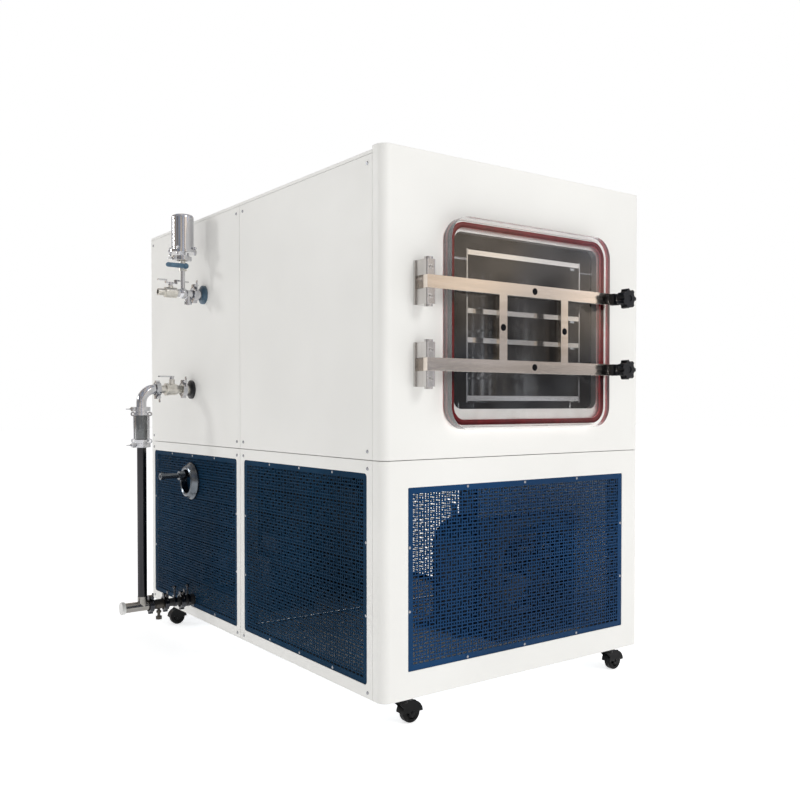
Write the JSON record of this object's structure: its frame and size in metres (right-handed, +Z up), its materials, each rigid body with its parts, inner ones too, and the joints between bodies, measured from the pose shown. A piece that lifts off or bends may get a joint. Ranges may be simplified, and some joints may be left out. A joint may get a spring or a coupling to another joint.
{
  "type": "freeze dryer",
  "caption": "Production freeze dryer on casters: white panelled cabinet with blue perforated grilles, a clear hinged chamber door over shelves, and steel vent and drain pipework on one side.",
  "frame": {"origin": "middle of the bounding box, on the floor", "axes": "+Z up, -Y towards the door side, +X to the right of someone who faces the door"},
  "size_m": [1.4165, 1.902, 1.69],
  "materials": {
    "painted_frame": "satin",
    "deck": "satin",
    "white_paint": "satin powder coat",
    "blue_grille": "satin powder coat",
    "dark_screw": "satin",
    "chamber_steel": "polished",
    "red_silicone": "matte",
    "clear_acrylic": "polished",
    "polished_steel": "polished",
    "cast_steel": "satin",
    "black_plastic": "matte",
    "machine_blue": "semi-gloss",
    "radiator": "brushed",
    "lagging": "matte",
    "dark_rubber": "matte",
    "blue_grip": "satin",
    "sight_glass": "polished",
    "cap_plastic": "gloss"
  },
  "bodies": {
    "cabinet": {"frame_posts": "painted_frame", "frame_side_rails": "painted_frame", "frame_cross_rails": "painted_frame", "inner_sheets": "deck", "lower_front_cover": "white_paint", "upper_front_cover": "white_paint", "front_grille": "blue_grille", "side_grilles": "blue_grille", "lower_side_panels": "white_paint", "blank_panels": "white_paint", "panel_screws": "dark_screw", "chamber": "chamber_steel", "hinge_brackets": "cast_steel", "hinge_pins": "polished_steel", "clamp_bosses": "cast_steel", "shelves": "chamber_steel", "shelf_rack": "chamber_steel", "oil_manifold": "chamber_steel", "compressor": "machine_blue", "condenser": "radiator", "cold_trap": "lagging", "vacuum_pump": "machine_blue", "electrical_box": "deck", "pipe_seals": "dark_rubber", "vent_fitting": "polished_steel", "vent_valve": "cast_steel", "air_valve": "cast_steel", "vent_filter": "polished_steel", "pipe_clamps": "polished_steel", "drain_valves": "cast_steel", "drain_elbow": "polished_steel", "drain_pipe": "polished_steel", "sight_glass_frame": "polished_steel", "sight_glass_tube": "sight_glass", "drain_tee": "polished_steel", "end_cap": "cap_plastic", "drain_hose": "dark_rubber", "vacuum_port": "polished_steel", "caster_plates": "black_plastic"},
    "door": {"door_gasket": "red_silicone", "door_panel": "clear_acrylic", "door_frame": "polished_steel", "door_bolts": "dark_screw", "clamp_blocks": "black_plastic"},
    "upper_washer": {"upper_thrust_washer": "cast_steel"},
    "lower_washer": {"lower_thrust_washer": "cast_steel"},
    "upper_knob": {"upper_star_knob": "black_plastic"},
    "lower_knob": {"lower_star_knob": "black_plastic"},
    "fan": {"condenser_fan": "black_plastic"},
    "vent_handle": {"vent_lever": "blue_grip"},
    "air_handle": {"air_lever": "polished_steel"},
    "drain_handle": {"drain_lever": "polished_steel"},
    "front_left_swivel": {"front_left_fork": "black_plastic"},
    "front_left_roller": {"front_left_wheel": "black_plastic"},
    "front_right_swivel": {"front_right_fork": "black_plastic"},
    "front_right_roller": {"front_right_wheel": "black_plastic"},
    "rear_left_swivel": {"rear_left_fork": "black_plastic"},
    "rear_left_roller": {"rear_left_wheel": "black_plastic"},
    "rear_right_swivel": {"rear_right_fork": "black_plastic"},
    "rear_right_roller": {"rear_right_wheel": "black_plastic"}
  },
  "joints": [
    {"name": "door_hinge", "type": "hinge", "parent": "cabinet", "child": "door", "pos_m": [-0.283, -0.874, 1.183], "axis": [0, 0, -1], "range_deg": [0, 110]},
    {"name": "upper_knob_turn", "type": "hinge", "parent": "upper_washer", "child": "upper_knob", "pos_m": [0.505, -0.938, 1.3015], "axis": [0, 1, 0], "range_deg": [0, 1230]},
    {"name": "upper_screw_travel", "type": "slide", "parent": "door", "child": "upper_washer", "axis": [0, 1, 0], "range_m": [0, 0.006]},
    {"name": "lower_knob_turn", "type": "hinge", "parent": "lower_washer", "child": "lower_knob", "pos_m": [0.505, -0.938, 1.0645], "axis": [0, 1, 0], "range_deg": [0, 1230]},
    {"name": "lower_screw_travel", "type": "slide", "parent": "door", "child": "lower_washer", "axis": [0, 1, 0], "range_m": [0, 0.006]},
    {"name": "fan_spin", "type": "hinge", "parent": "cabinet", "child": "fan", "pos_m": [0.387, -0.617, 0.363], "axis": [0, 1, 0], "continuous": true},
    {"name": "vent_lever_turn", "type": "hinge", "parent": "cabinet", "child": "vent_handle", "pos_m": [-0.5, 0.366, 1.479], "axis": [0, -1, 0], "range_deg": [0, 90]},
    {"name": "air_lever_turn", "type": "hinge", "parent": "cabinet", "child": "air_handle", "pos_m": [-0.55, 0.39, 1.403], "axis": [0, 0, 1], "range_deg": [0, 90]},
    {"name": "drain_lever_turn", "type": "hinge", "parent": "cabinet", "child": "drain_handle", "pos_m": [-0.498, 0.511, 1.0485], "axis": [0, 0, 1], "range_deg": [0, 90]},
    {"name": "front_left_swivel_turn", "type": "hinge", "parent": "cabinet", "child": "front_left_swivel", "pos_m": [-0.308, -0.774, 0.078], "axis": [0, 0, 1], "continuous": true},
    {"name": "front_left_wheel_spin", "type": "hinge", "parent": "front_left_swivel", "child": "front_left_roller", "pos_m": [-0.276, -0.774, 0.031], "axis": [0, 1, 0], "continuous": true},
    {"name": "front_right_swivel_turn", "type": "hinge", "parent": "cabinet", "child": "front_right_swivel", "pos_m": [0.602, -0.774, 0.078], "axis": [0, 0, 1], "continuous": true},
    {"name": "front_right_wheel_spin", "type": "hinge", "parent": "front_right_swivel", "child": "front_right_roller", "pos_m": [0.634, -0.774, 0.031], "axis": [0, 1, 0], "continuous": true},
    {"name": "rear_left_swivel_turn", "type": "hinge", "parent": "cabinet", "child": "rear_left_swivel", "pos_m": [-0.339, 0.781, 0.078], "axis": [0, 0, 1], "continuous": true},
    {"name": "rear_left_wheel_spin", "type": "hinge", "parent": "rear_left_swivel", "child": "rear_left_roller", "pos_m": [-0.371, 0.781, 0.031], "axis": [0, 1, 0], "continuous": true},
    {"name": "rear_right_swivel_turn", "type": "hinge", "parent": "cabinet", "child": "rear_right_swivel", "pos_m": [0.633, 0.781, 0.078], "axis": [0, 0, 1], "continuous": true},
    {"name": "rear_right_wheel_spin", "type": "hinge", "parent": "rear_right_swivel", "child": "rear_right_roller", "pos_m": [0.601, 0.781, 0.031], "axis": [0, 1, 0], "continuous": true}
  ],
  "couplings": [
    {"joint": "upper_screw_travel", "follows": "upper_knob_turn", "m_per_rad": 0.00027852},
    {"joint": "lower_screw_travel", "follows": "lower_knob_turn", "m_per_rad": 0.00027852}
  ]
}
